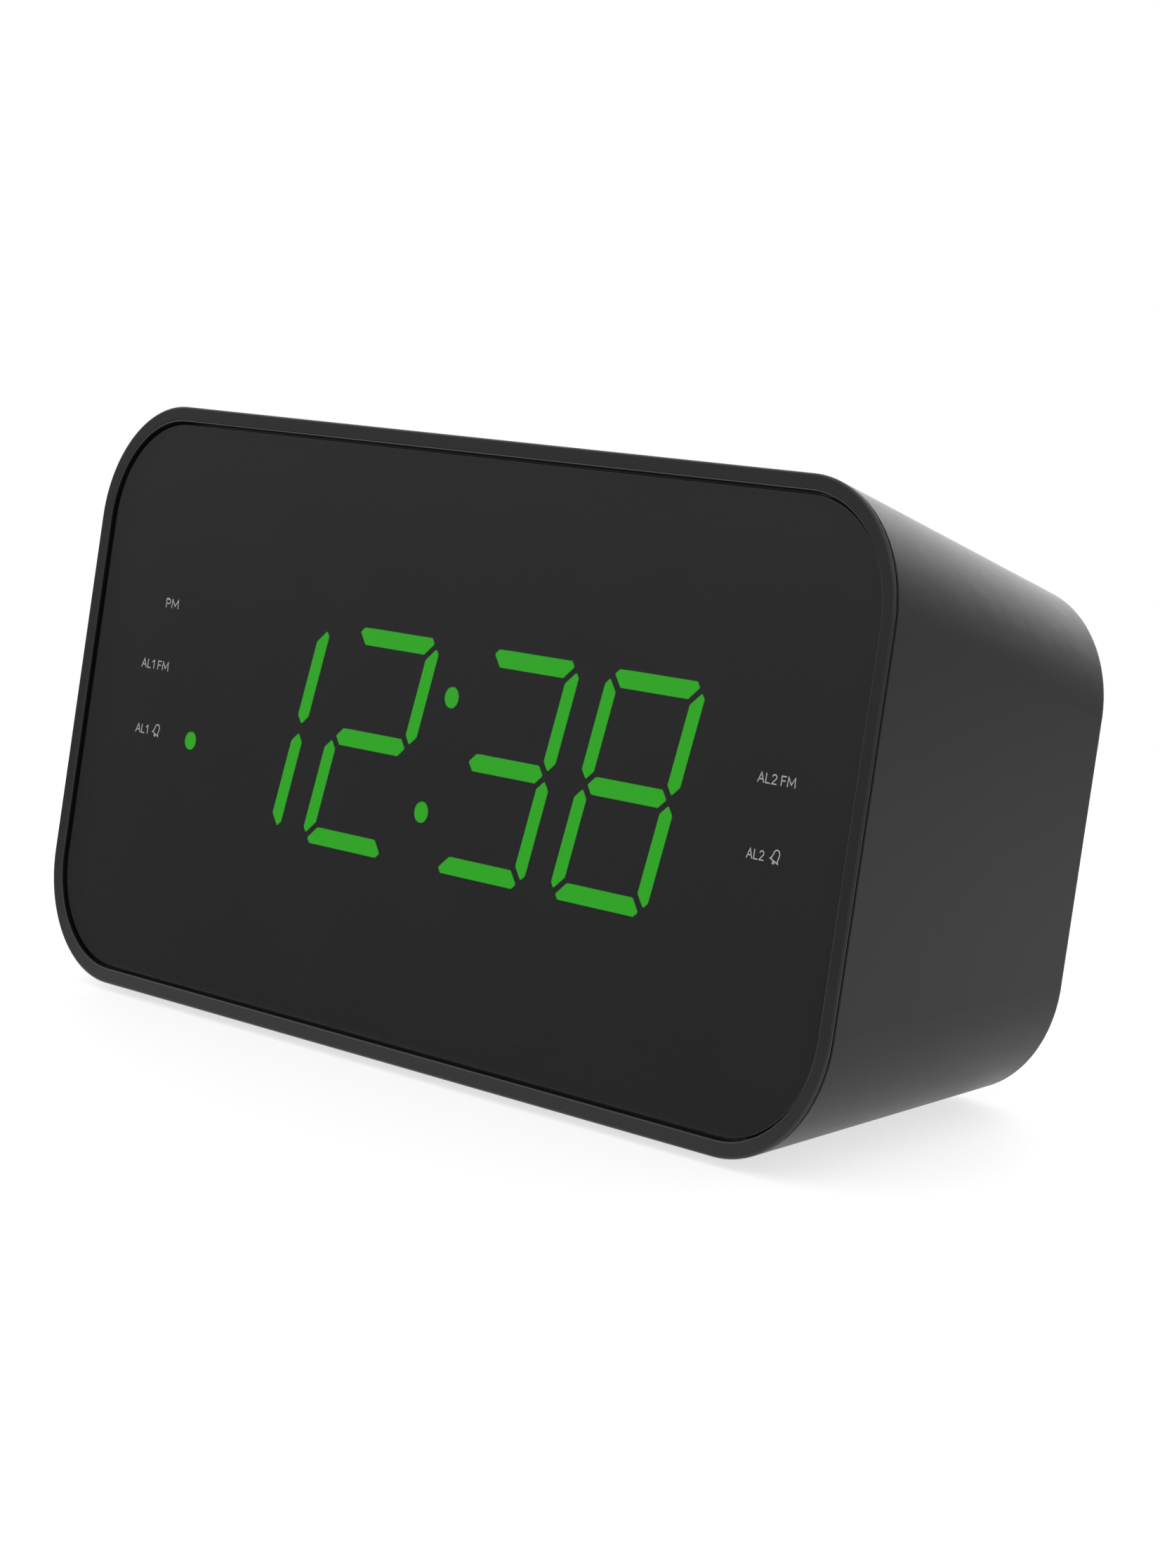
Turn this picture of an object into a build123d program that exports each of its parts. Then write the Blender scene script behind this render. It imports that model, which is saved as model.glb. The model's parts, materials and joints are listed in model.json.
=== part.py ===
from build123d import *
import os
from math import atan2, cos, degrees, radians, sin, tan

# Bedside clock radio. Millimetres, +Z up, +Y towards the back, +X to the viewer's right.
# The origin is on the table, under the middle of the whole radio.
#
# The housing is a rounded rectangle that tapers evenly towards the back. It rests on its
# bottom flank, so the face leans back by the same angle as the taper.

# ---------------------------------------------------------------- driving dimensions
face_width = 180.0
face_height = 92.0
face_corner = 18.7
body_depth = 54.0
rear_corner = 17.1
lean = 10.5
foot_height = 1.2
wall = 2.2
overall_depth = 68.0

# Bezel and lens
rim_width = 2.35
rim_proud = 0.3
rim_depth = 0.1
rim_radius = 0.3
lip_radius = 0.3
seam = 0.35
front_edge_radius = 0.2
mouth_wall = 1.0
mouth_depth = 6.2
plug_depth = 6.0
plug_gap = 0.1
plug_wall = 1.5
lens_gap = 0.45
lens_recess = 0.4
lens_thickness = 1.6
lens_radius = 0.15
tape_thickness = 0.3
tape_gap = 0.02
tape_margin = 0.5
ledge_thickness = 1.2
window_width = 164.0
window_height = 76.0
window_corner = 8.0

# Display: four slanted seven-segment digits with a colon between the pairs
display_x = -0.7
display_h = -0.55
slant = 10.3
stroke = 2.55
digit_width = 18.0
digit_height = 30.85
digit_pitch = 26.3
pair_pitch = 31.5
mitre_gap = 0.75
tip_blunt = 0.3
segment_round = 0.2
colon_diameter = 3.1
colon_h = 8.65
dot_diameter = 2.8
dot_x = 60.3
dot_rows = (15.6, 5.4, -5.2)
lit_dot = (-1, 2)
shown_digits = "12:38"
guide_gap = 0.05
guide_end = 0.5

# Display block and board
block_clearance = 0.3
flange_width = 170.0
flange_height = 82.0
flange_corner = 15.0
flange_thickness = 1.5
flange_screw_bite = 1.0
block_width = 144.0
block_height = 56.0
block_end = 9.9
block_corner = 3.0
board_thickness = 1.6
board_corner = 3.0
display_board_size = (140.0, 52.0)
led_size = (1.6, 1.6)
led_height = 0.35
side_screw_x = 83.4
edge_screw_x = 50.0
edge_screw_h = 39.5

# Keys on the crown, placed by (x, distance back from the front edge)
key_size = (13.0, 7.0)
snooze_size = (60.0, 16.0)
wide_key_size = (16.0, 7.0)
key_gap = 0.3
key_end_flat = 0.05
key_proud = 0.8
snooze_proud = 1.0
key_travel = 0.6
snooze_travel = 0.8
key_edge_radius = 0.5
flange_margin = 1.0
key_flange_top = 2.5
key_flange_thickness = 1.0
stem_size = (3.2, 3.2)
snooze_stem_x = 18.0
switch_top = 5.7
switch_button_radius = 1.7
switch_button_height = 0.6
switch_size = 6.0
switch_corner = 0.6
switch_height = 3.5
key_rows = (19.5, 34.5)
key_columns = (43.0, 58.5)
snooze_v = 21.0
centre_row = 37.5
centre_column = 12.0
key_board_size = (131.0, 36.0)
key_board_v = 27.0
key_post_x = 62.0
key_post_rows = (12.0, 42.0)

# Main board, level above the housing's floor
main_board_size = (72.0, 33.0)
main_board_centre = (-28.0, -1.5)
post_height = 4.0
post_radius = 2.6
post_inset = 4.0
pilot_radius = 0.9

# Components on the main board: places (x, y), size (x, y, z) and corner radius
board_parts = {
    "clock_chip": ([(-31.0, -3.0)], (14.0, 10.0, 2.2), 0.4),
    "amplifier_chip": ([(-6.0, 8.0)], (9.0, 6.0, 1.8), 0.4),
    "tuner_can": ([(-47.0, -6.0)], (18.0, 13.0, 4.6), 0.4),
    "quartz_crystal": ([(-44.0, 8.0)], (10.4, 4.2, 3.4), 1.9),
    "board_sockets": ([(-28.0, -14.5), (-19.0, 11.0)], (14.0, 4.6, 6.0), 0.4),
}
component_chamfer = 0.2
capacitor_radius = 3.15
capacitor_height = 9.0
capacitor_round = 0.5
capacitor_points = [(-17.0, -5.0), (-9.0, -5.0), (-1.0, -3.0)]

# Rear panel
panel_thickness = 2.0
panel_recess = 0.8
panel_gap = 0.15
rear_edge_radius = 0.8
boss_radius = 4.0
boss_length = 13.0
boss_x = 70.8
boss_h = 26.8
boss_hole_depth = 9.1
rib_width = 2.0
rib_length = 16.0
rib_shift = 5.3
diagonal = 45
rear_screw_bite = 8.0
screw_well_radius = 2.9
screw_well_depth = 0.9

# Screws: shank radius, head radius, head height
shank_radius = 1.1
head_radius = 2.3
head_height = 1.1
head_round = 0.44
drive_width = 0.45
drive_length = 2.4
drive_depth = 0.6
small_shank_radius = 0.85
small_head_radius = 1.6
board_screw_bite = 3.0

# Loudspeaker, screwed to the inside of the rear panel
speaker_x = 38.0
speaker_h = -3.0
speaker_radius = 27.0
speaker_screw_radius = 24.8
grille_radius = 21.0
slot_width = 2.2
slot_pitch = 4.2
slot_count = 9
speaker_screw_bite = 1.4
gasket = 0.8
sheet = 0.8
rim_front = 1.8
magnet_back = 12.4

# Loudspeaker profiles: (radius, distance in front of the rear panel's inner face)
speaker_profiles = {
    "speaker_gasket": [(22.4, 0), (speaker_radius, 0), (speaker_radius, gasket), (22.4, gasket)],
    "speaker_frame": [
        (22.6, gasket),
        (speaker_radius, gasket),
        (speaker_radius, rim_front),
        (23.2, rim_front),
        (14.6, magnet_back),
        (7.4, magnet_back),
        (7.4, magnet_back - sheet),
        (14.2, magnet_back - sheet),
        (22.6, gasket + sheet / 2),
    ],
    "speaker_surround": [
        (19.6, 1.3),
        (20.3, 0.5),
        (21.1, 0.5),
        (21.9, 1.2),
        (21.8, 1.6),
        (20.9, 0.9),
        (20.5, 0.9),
    ],
    "speaker_cone": [(19.4, 1.5), (19.4, 2.0), (7.0, 9.0), (6.8, 8.5)],
    "dust_cap": [(0, 5.6), (3.5, 6.1), (6.7, 7.9), (6.7, 8.4), (3.4, 6.6), (0, 6.1)],
    "voice_coil": [(6.15, 8.7), (6.6, 8.7), (6.6, 17.6), (6.15, 17.6)],
    "speaker_spider": [(6.7, 10.4), (12.6, 10.4), (12.6, 10.8), (6.7, 10.8)],
    "speaker_top_plate": [(7.0, 12.5), (12.6, 12.5), (12.6, 14.1), (7.0, 14.1)],
    "speaker_magnet": [(8.0, 14.1), (14.0, 14.1), (14.0, 18.9), (8.0, 18.9)],
    "speaker_yoke": [(0, 12.5), (5.8, 12.5), (5.8, 18.9), (12.8, 18.9), (12.8, 20.6), (0, 20.6)],
}
# Openings through a profile: (radius, count, ring radius, start, end)
speaker_openings = {
    "speaker_gasket": [(small_shank_radius, 4, speaker_screw_radius, 0, gasket)],
    "speaker_frame": [
        (small_shank_radius, 4, speaker_screw_radius, 0, rim_front),
        (4.2, 6, 17.6, 3.0, 10.8),
    ],
}

# Backup battery bay: two AAA cells, one above the other
bay_x = -40.0
bay_h = 7.0
cell_radius = 5.25
cell_length = 44.5
cell_round = 0.6
nub_radius = 1.9
nub_length = 0.8
cell_pitch = 11.2
cell_depth = 45.6
spring_length = 6.0
plate_thickness = 0.5
plate_size = (7.9, 8.9)
plate_corner = 1.0
spring_wire = 0.5
spring_base = 3.9
spring_tip = 2.6
spring_turns = 4
bay_height = 23.4
bay_floor_depth = 40.1
bay_wall = 1.4
bay_corner = 1.0
door_size = (53.0, 24.0)
door_gap = 0.3
door_thickness = 1.6
hinge_pin_radius = 0.5
hinge_play = 0.06
hinge_pin_length = 1.2
latch_size = (8.0, 1.0)
latch_reach = 2.6
latch_drop = 1.2
notch_size = (14.0, 5.0)
notch_corner = 2.2
notch_overlap = 1.0
notch_depth = 1.1

# Sockets
socket_x = -62.0
socket_h = -22.0
socket_body_radius = 5.4
socket_nose_radius = 4.2
socket_play = 0.05
socket_bore_radius = 3.0
socket_pin_radius = 1.05
socket_length = 12.0
socket_nose_length = 3.2
socket_bore_depth = 9.5
socket_pin_end = 1.2
socket_pin_round = 0.5
grommet_x = -46.0
grommet_radius = 3.4
grommet_groove_radius = 2.6
grommet_hole_radius = 0.9
grommet_lip = 0.9

# Rubber feet
foot_radius = 5.0
foot_sink = 0.6
foot_edge_radius = 0.35
foot_x = 54.0
foot_rows = (-22.0, 13.0)

# Ribbon cables: centre x, width and inner bend radius; their ends and turns are measured
# down the display board, back along the key board, and in the side view
ribbon_thickness = 0.6
display_ribbon_size = (-28.0, 12.0, 1.5)
display_ribbon_ends = (-16.0, -25.0)
display_ribbon_turn = (-14.5, 19.5)
key_ribbon_size = (-4.0, 8.0, 2.0)
key_ribbon_ends = (30.0, 40.0)
key_ribbon_turn = (11.0, 40.0)

os.makedirs("parts", exist_ok=True)

# ---------------------------------------------------------------- reference planes
lean_sin = sin(radians(lean))
lean_cos = cos(radians(lean))
draft = tan(radians(lean))
face_low_y = -overall_depth / 2
face_centre = (
    0,
    face_low_y + face_height / 2 * lean_sin,
    foot_height + face_height / 2 * lean_cos,
)

# The face's own plane: local x to the right, local y up the face, normal out of the front.
face = Plane(origin=face_centre, x_dir=(1, 0, 0), z_dir=(0, -lean_cos, lean_sin))

# The crown is the sloping top flank: local x to the right, local y back and down.
crown = Plane(
    origin=face.from_local_coords((0, face_height / 2, 0)),
    x_dir=(1, 0, 0),
    z_dir=(0, sin(radians(2 * lean)), cos(radians(2 * lean))),
)
floor_top = foot_height + wall
board_level = floor_top + post_height
panel_front = body_depth - panel_recess - panel_thickness
panel_back = body_depth - panel_recess
lens_back = lens_recess + lens_thickness
ledge_front = lens_back + tape_gap + tape_thickness
ledge_back = ledge_front + ledge_thickness
block_front = lens_back + guide_gap
pocket_inset = rim_width + lens_gap


def behind(depth):
    """The plane parallel to the face, that far behind it."""
    return face.offset(-depth)


def below_crown(depth):
    """The plane parallel to the crown, that far under its outer surface."""
    return crown.offset(-depth)


def outline(depth, inset=0.0):
    """Width, height and corner radius of the housing's section, moved in by inset."""
    shrink = 2 * (depth * draft + inset)
    corner = face_corner + (rear_corner - face_corner) * depth / body_depth - inset
    return face_width - shrink, face_height - shrink, corner


def tapered(start, end, inset=0.0):
    """The block between two depths that follows the housing's taper."""
    with BuildPart() as block:
        for depth in (start, end):
            with BuildSketch(behind(depth)):
                RectangleRounded(*outline(depth, inset))
        loft(ruled=True)
    return block.part


def save(piece, name):
    """Label a finished piece and write it as its own STEP file."""
    piece.label = name
    export_step(piece, f"parts/{name}.step")


def screws(plane, points, length, shank=shank_radius, head=head_radius):
    """Pan-head screws whose heads sit on the plane and whose shanks run into it."""
    with BuildPart() as group:
        with BuildSketch(plane):
            with Locations(*points):
                Circle(head)
        extrude(amount=head_height)
        head_tops = group.faces().group_by(Axis(plane.origin, plane.z_dir))[-1]
        fillet(head_tops.edges(), head_round)
        with BuildSketch(plane):
            with Locations(*points):
                Circle(shank)
        extrude(amount=-length)
        with BuildSketch(plane.offset(head_height)):
            for turn in (0, 90):
                with Locations(*points):
                    Rectangle(drive_length * head / head_radius, drive_width, rotation=turn)
        extrude(amount=-drive_depth, mode=Mode.SUBTRACT)
    return group.part


# ---------------------------------------------------------------- keys' names and places
near_row, far_row = key_rows
inner_column, outer_column = key_columns
keys = {
    "snooze_bar": (0, snooze_v, snooze_size, snooze_travel),
    "power_key": (-outer_column, near_row, key_size, key_travel),
    "sleep_key": (-inner_column, near_row, key_size, key_travel),
    "alarm_one_key": (-outer_column, far_row, key_size, key_travel),
    "alarm_two_key": (-inner_column, far_row, key_size, key_travel),
    "tune_down_key": (inner_column, near_row, key_size, key_travel),
    "tune_up_key": (outer_column, near_row, key_size, key_travel),
    "volume_down_key": (inner_column, far_row, key_size, key_travel),
    "volume_up_key": (outer_column, far_row, key_size, key_travel),
    "set_time_key": (-centre_column, centre_row, wide_key_size, key_travel),
    "dimmer_key": (centre_column, centre_row, wide_key_size, key_travel),
}


def pill(size, grow=0.0):
    """A key's outline: a rectangle with fully rounded ends, grown all round."""
    width, length = size
    end_radius = length / 2 + grow - key_end_flat
    return RectangleRounded(width + 2 * grow, length + 2 * grow, end_radius)


def switch_points(name):
    """Where a key's switches stand: one under a key, two under the snooze bar."""
    x, v = keys[name][:2]
    if name == "snooze_bar":
        return [(x - snooze_stem_x, v), (x + snooze_stem_x, v)]
    return [(x, v)]


all_switches = [point for name in keys for point in switch_points(name)]
key_posts = [(side * key_post_x, v) for side in (-1, 1) for v in key_post_rows]
boss_points = [(sx * boss_x, sh * boss_h) for sx in (-1, 1) for sh in (-1, 1)]
main_x, main_y = main_board_centre
main_posts = [
    (
        main_x + sx * (main_board_size[0] / 2 - post_inset),
        main_y + sy * (main_board_size[1] / 2 - post_inset),
    )
    for sx in (-1, 1)
    for sy in (-1, 1)
]
foot_points = [(sx * foot_x, y) for sx in (-1, 1) for y in foot_rows]
flange_screws = [(sx * side_screw_x, 0) for sx in (-1, 1)]
flange_screws += [(sx * edge_screw_x, sh * edge_screw_h) for sx in (-1, 1) for sh in (-1, 1)]

# ---------------------------------------------------------------- housing
# Rear screw bosses stand on ribs that run out to the housing's corners.
with BuildPart() as bosses:
    with BuildSketch(behind(panel_front)):
        with Locations(*boss_points):
            Circle(boss_radius)
        for sx in (-1, 1):
            for sh in (-1, 1):
                with Locations((sx * (boss_x + rib_shift), sh * (boss_h + rib_shift))):
                    Rectangle(rib_length, rib_width, rotation=sx * sh * diagonal)
    extrude(amount=boss_length)
    add(tapered(0, body_depth, wall / 2), mode=Mode.INTERSECT)

with BuildPart() as housing:
    add(tapered(rim_depth + seam, body_depth))
    rear_end, *_, front_end = housing.faces().sort_by(Axis(face.origin, face.z_dir))
    fillet(rear_end.edges(), rear_edge_radius)
    fillet(front_end.edges(), front_edge_radius)
    add(tapered(0, body_depth + 1, wall), mode=Mode.SUBTRACT)
    add(tapered(0, mouth_depth, mouth_wall), mode=Mode.SUBTRACT)
    add(bosses.part)
    with BuildSketch(behind(panel_front)):
        with Locations(*boss_points):
            Circle(shank_radius)
    extrude(amount=boss_hole_depth, mode=Mode.SUBTRACT)
    # Posts that hang under the crown and carry the key board
    with BuildSketch(below_crown(wall / 2)):
        with Locations(*key_posts):
            Circle(post_radius)
    extrude(amount=wall / 2 - switch_top - switch_button_height - switch_height)
    with BuildSketch(below_crown(switch_top + switch_button_height + switch_height)):
        with Locations(*key_posts):
            Circle(pilot_radius)
    extrude(amount=post_height, mode=Mode.SUBTRACT)
    # Key openings
    with BuildSketch(crown.offset(wall)):
        for x, v, size, travel in keys.values():
            with Locations((x, v)):
                pill(size, key_gap)
    extrude(amount=-3 * wall, mode=Mode.SUBTRACT)
    # Posts on the floor that carry the main board
    with BuildSketch(Plane.XY.offset(foot_height + wall / 2)):
        with Locations(*main_posts):
            Circle(post_radius)
    extrude(amount=post_height + wall / 2)
    with BuildSketch(Plane.XY.offset(board_level)):
        with Locations(*main_posts):
            Circle(pilot_radius)
    extrude(amount=-post_height, mode=Mode.SUBTRACT)
    # Shallow pockets that hold the feet
    with BuildSketch(Plane.XY.offset(foot_height)):
        with Locations(*foot_points):
            Circle(foot_radius)
    extrude(amount=foot_sink, mode=Mode.SUBTRACT)
save(housing.part, "housing_shell")

# ---------------------------------------------------------------- bezel, lens and tape
pocket_width = face_width - 2 * rim_width
pocket_height = face_height - 2 * rim_width
pocket_corner = face_corner - rim_width
plug_inset = mouth_wall + plug_gap
hollow_inset = plug_inset + plug_wall
with BuildPart() as bezel:
    add(tapered(-rim_proud, rim_depth))
    front_edges = bezel.faces().sort_by(Axis(face.origin, face.z_dir))[-1].edges()
    fillet(front_edges, rim_radius)
    add(tapered(rim_depth, plug_depth, plug_inset))
    with BuildSketch(behind(ledge_front)):
        RectangleRounded(pocket_width, pocket_height, pocket_corner)
    extrude(amount=ledge_front + rim_proud, mode=Mode.SUBTRACT)
    inner_edges = bezel.faces().sort_by(Axis(face.origin, face.z_dir))[-1].inner_wires()
    fillet(inner_edges[0].edges(), lip_radius)
    with BuildSketch(behind(ledge_front)):
        RectangleRounded(window_width, window_height, window_corner)
    extrude(amount=-plug_depth, mode=Mode.SUBTRACT)
    add(tapered(ledge_back, plug_depth + 1, hollow_inset), mode=Mode.SUBTRACT)
    with BuildSketch(behind(ledge_back)):
        with Locations(*flange_screws):
            Circle(small_shank_radius)
    extrude(amount=flange_screw_bite, mode=Mode.SUBTRACT)
save(bezel.part, "front_bezel")

with BuildPart() as lens:
    with BuildSketch(behind(lens_back)):
        RectangleRounded(
            face_width - 2 * pocket_inset, face_height - 2 * pocket_inset, face_corner - pocket_inset
        )
    extrude(amount=lens_thickness)
    lens_edges = lens.faces().sort_by(Axis(face.origin, face.z_dir))[-1].edges()
    fillet(lens_edges, lens_radius)
save(lens.part, "smoked_lens")

tape_inset = pocket_inset + tape_margin
with BuildPart() as tape:
    with BuildSketch(behind(ledge_front)):
        RectangleRounded(
            face_width - 2 * tape_inset, face_height - 2 * tape_inset, face_corner - tape_inset
        )
        RectangleRounded(
            window_width + 2 * tape_margin,
            window_height + 2 * tape_margin,
            window_corner + tape_margin,
            mode=Mode.SUBTRACT,
        )
    extrude(amount=tape_thickness)
save(tape.part, "lens_tape")

# ---------------------------------------------------------------- display segments
# Each digit is a rectangle of strokes; a stroke's end is mitred against its neighbours.
# Names run clockwise from the top as a to f, with g across the middle.
lit_strokes = {"1": "bc", "2": "abged", "3": "abgcd", "8": "abcdefg"}
half = digit_width / 2
rise = digit_height / 2
top_level, middle_level, bottom_level = rise, 0.0, -rise
strokes = {
    "a": ((-half, top_level), (half, top_level)),
    "b": ((half, top_level), (half, middle_level)),
    "c": ((half, middle_level), (half, bottom_level)),
    "d": ((-half, bottom_level), (half, bottom_level)),
    "e": ((-half, middle_level), (-half, bottom_level)),
    "f": ((-half, top_level), (-half, middle_level)),
    "g": ((-half, middle_level), (half, middle_level)),
}


def stroke_end(node, other):
    """The outline points at one end of a stroke, from its low side to its high side.

    The end is a plain point in the middle of the digit. At a corner of the digit the
    point moves towards the outside and is blunted.
    """
    run = Vector(*other) - Vector(*node)
    along = run.normalized()
    side = Vector(-along.Y, along.X)
    reach = stroke / 2
    start = Vector(*node)
    if abs(node[1]) < stroke:
        offsets = [(mitre_gap + reach, -reach), (mitre_gap, 0), (mitre_gap + reach, reach)]
    else:
        inner = (mitre_gap + reach, -reach)
        tip = ((mitre_gap - tip_blunt) / 2, (mitre_gap + tip_blunt) / 2)
        outer = (reach - tip_blunt, reach)
        offsets = [inner, tip, outer]
        outward = Vector(*node)
        if side.dot(outward) < 0:
            offsets = [(step, -shift) for step, shift in reversed(offsets)]
    return [start + along * step + side * shift for step, shift in offsets]


def sheared(point):
    """Lean a point of an upright digit over by the slant."""
    return point.X + point.Y * tan(radians(slant)), point.Y


def stroke_outline(centre_x, letter):
    """The closed outline of one stroke of the digit centred on centre_x."""
    first, second = strokes[letter]
    near = stroke_end(first, second)
    far = stroke_end(second, first)
    shift = Vector(centre_x + display_x, display_h)
    corners = [Vector(*sheared(point)) + shift for point in near + far]
    return [(corner.X, corner.Y) for corner in corners]


digit_centres = [
    pair * pair_pitch / 2 + pair * digit_pitch * outer
    for pair, outer in ((-1, 1), (-1, 0), (1, 0), (1, 1))
]
digit_faces = {"lit": [], "unlit": []}
for centre_x, figure in zip(digit_centres, shown_digits.replace(":", "")):
    for letter in strokes:
        state = "lit" if letter in lit_strokes[figure] else "unlit"
        digit_faces[state].append(stroke_outline(centre_x, letter))

colon_points = [
    (display_x + sh * colon_h * tan(radians(slant)), display_h + sh * colon_h) for sh in (-1, 1)
]
dot_points = {"lit": [], "unlit": []}
for sx in (-1, 1):
    for row, level in enumerate(dot_rows):
        if sx > 0 and row == 0:
            continue
        state = "lit" if (sx, row) == lit_dot else "unlit"
        dot_points[state].append((display_x + sx * dot_x, level + display_h))


def stroke_faces(outlines, grow=0.0):
    """Draw strokes in the current sketch, with softened corners."""
    for corners in outlines:
        with BuildSketch(mode=Mode.PRIVATE) as one:
            with BuildLine():
                Polyline(*corners, close=True)
            make_face()
            fillet(one.vertices(), segment_round)
            if grow:
                offset(amount=grow)
        add(one.sketch)


def round_faces(points, diameter, grow=0.0):
    """Draw round dots in the current sketch."""
    with Locations(*points):
        Circle(diameter / 2 + grow)


guide_back = block_end - guide_end
for state in ("lit", "unlit"):
    with BuildPart() as guides:
        with BuildSketch(behind(guide_back)):
            stroke_faces(digit_faces[state])
        extrude(amount=guide_back - block_front)
    save(guides.part, f"{state}_segments")
    with BuildPart() as dots:
        with BuildSketch(behind(guide_back)):
            round_faces(dot_points[state], dot_diameter)
        extrude(amount=guide_back - block_front)
    save(dots.part, f"{state}_indicators")

with BuildPart() as colon:
    with BuildSketch(behind(guide_back)):
        round_faces(colon_points, colon_diameter)
    extrude(amount=guide_back - block_front)
save(colon.part, "colon_dots")

# ---------------------------------------------------------------- display block and board
display_screw_x = display_board_size[0] / 2 - post_inset
display_screw_h = display_board_size[1] / 2 - post_inset / 2
display_corners = [
    (sx * display_screw_x, sh * display_screw_h) for sx in (-1, 1) for sh in (-1, 1)
]
with BuildPart() as block:
    with BuildSketch(behind(ledge_back)):
        RectangleRounded(
            window_width - 2 * block_clearance,
            window_height - 2 * block_clearance,
            window_corner - block_clearance,
        )
    extrude(amount=ledge_back - block_front)
    with BuildSketch(behind(ledge_back)):
        RectangleRounded(flange_width, flange_height, flange_corner)
        with Locations(*flange_screws):
            Circle(small_shank_radius, mode=Mode.SUBTRACT)
    extrude(amount=-flange_thickness)
    with BuildSketch(behind(ledge_back)):
        RectangleRounded(block_width, block_height, block_corner)
    extrude(amount=ledge_back - block_end)
    with BuildSketch(behind(block_end)):
        stroke_faces(digit_faces["lit"] + digit_faces["unlit"], guide_gap)
        round_faces(dot_points["lit"] + dot_points["unlit"], dot_diameter, guide_gap)
        round_faces(colon_points, colon_diameter, guide_gap)
    extrude(amount=block_end, mode=Mode.SUBTRACT)
    with BuildSketch(behind(block_end)):
        with Locations(*display_corners):
            Circle(small_shank_radius)
    extrude(amount=post_height, mode=Mode.SUBTRACT)
save(block.part, "display_reflector")

with BuildPart() as leds:
    with BuildSketch(behind(block_end)):
        for corners in digit_faces["lit"] + digit_faces["unlit"]:
            middle = sum((Vector(*corner) for corner in corners), Vector()) / len(corners)
            with Locations((middle.X, middle.Y)):
                Rectangle(*led_size)
        with Locations(*colon_points, *dot_points["lit"], *dot_points["unlit"]):
            Rectangle(*led_size)
    extrude(amount=led_height)
save(leds.part, "display_leds")

with BuildPart() as display_board:
    with BuildSketch(behind(block_end)):
        Rectangle(*display_board_size)
        with Locations(*display_corners):
            Circle(small_shank_radius, mode=Mode.SUBTRACT)
    extrude(amount=-board_thickness)
save(display_board.part, "display_board")

# The screws drive towards the front, so their plane's normal points to the back.
board_back = Plane(
    origin=behind(block_end + board_thickness).origin, x_dir=(-1, 0, 0), z_dir=-face.z_dir
)
flange_back = Plane(
    origin=behind(ledge_back + flange_thickness).origin, x_dir=(-1, 0, 0), z_dir=-face.z_dir
)
board_screws = screws(
    board_back,
    display_corners,
    board_thickness + board_screw_bite,
    small_shank_radius,
    small_head_radius,
)
save(board_screws, "display_board_screws")
block_screws = screws(
    flange_back,
    flange_screws,
    flange_thickness + flange_screw_bite,
    small_shank_radius,
    small_head_radius,
)
save(block_screws, "reflector_screws")

# ---------------------------------------------------------------- keys
# A key is a cap in the crown's opening, a flange that keeps it in, and a stem that
# stands over its switch. The gap between stem and switch is the key's travel.
key_foot = key_flange_top + key_flange_thickness
for name, (x, v, size, travel) in keys.items():
    proud = snooze_proud if name == "snooze_bar" else key_proud
    stem_length = switch_top - travel - key_gap / 2 - key_foot
    with BuildPart() as key:
        with BuildSketch(below_crown(key_flange_top)):
            with Locations((x, v)):
                pill(size)
        extrude(amount=key_flange_top + proud)
        cap_edges = key.faces().sort_by(Axis(crown.origin, crown.z_dir))[-1].edges()
        fillet(cap_edges, key_edge_radius)
        with BuildSketch(below_crown(key_foot)):
            with Locations((x, v)):
                pill(size, flange_margin)
        extrude(amount=key_flange_thickness)
        with BuildSketch(below_crown(key_foot)):
            with Locations(*switch_points(name)):
                Rectangle(*stem_size)
        extrude(amount=-stem_length)
    save(key.part, name)

switch_base = switch_top + switch_button_height + switch_height
with BuildPart() as switches:
    with BuildSketch(below_crown(switch_base)):
        with Locations(*all_switches):
            RectangleRounded(switch_size, switch_size, switch_corner)
    extrude(amount=switch_height)
    with BuildSketch(below_crown(switch_base - switch_height)):
        with Locations(*all_switches):
            Circle(switch_button_radius)
    extrude(amount=switch_button_height)
save(switches.part, "key_switches")

with BuildPart() as key_board:
    with BuildSketch(below_crown(switch_base)):
        with Locations((0, key_board_v)):
            RectangleRounded(*key_board_size, board_corner)
        with Locations(*key_posts):
            Circle(small_shank_radius, mode=Mode.SUBTRACT)
    extrude(amount=-board_thickness)
save(key_board.part, "key_board")

key_board_under = Plane(
    origin=below_crown(switch_base + board_thickness).origin, x_dir=(-1, 0, 0), z_dir=-crown.z_dir
)
key_screws = screws(
    key_board_under,
    [(-x, v) for x, v in key_posts],
    board_thickness + board_screw_bite,
    small_shank_radius,
    small_head_radius,
)
save(key_screws, "key_board_screws")

# ---------------------------------------------------------------- main board
with BuildPart() as main_board:
    with BuildSketch(Plane.XY.offset(board_level)):
        with Locations(main_board_centre):
            RectangleRounded(*main_board_size, board_corner)
        with Locations(*main_posts):
            Circle(small_shank_radius, mode=Mode.SUBTRACT)
    extrude(amount=board_thickness)
save(main_board.part, "main_board")

board_top = board_level + board_thickness
main_screws = screws(
    Plane.XY.offset(board_top),
    main_posts,
    board_thickness + board_screw_bite,
    small_shank_radius,
    small_head_radius,
)
save(main_screws, "main_board_screws")

for name, (centres, size, corner) in board_parts.items():
    width, length, height = size
    with BuildPart() as group:
        with BuildSketch(Plane.XY.offset(board_top)):
            with Locations(*centres):
                RectangleRounded(width, length, corner)
        extrude(amount=height)
        chamfer(group.faces().group_by(Axis.Z)[-1].edges(), component_chamfer)
    save(group.part, name)

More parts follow.
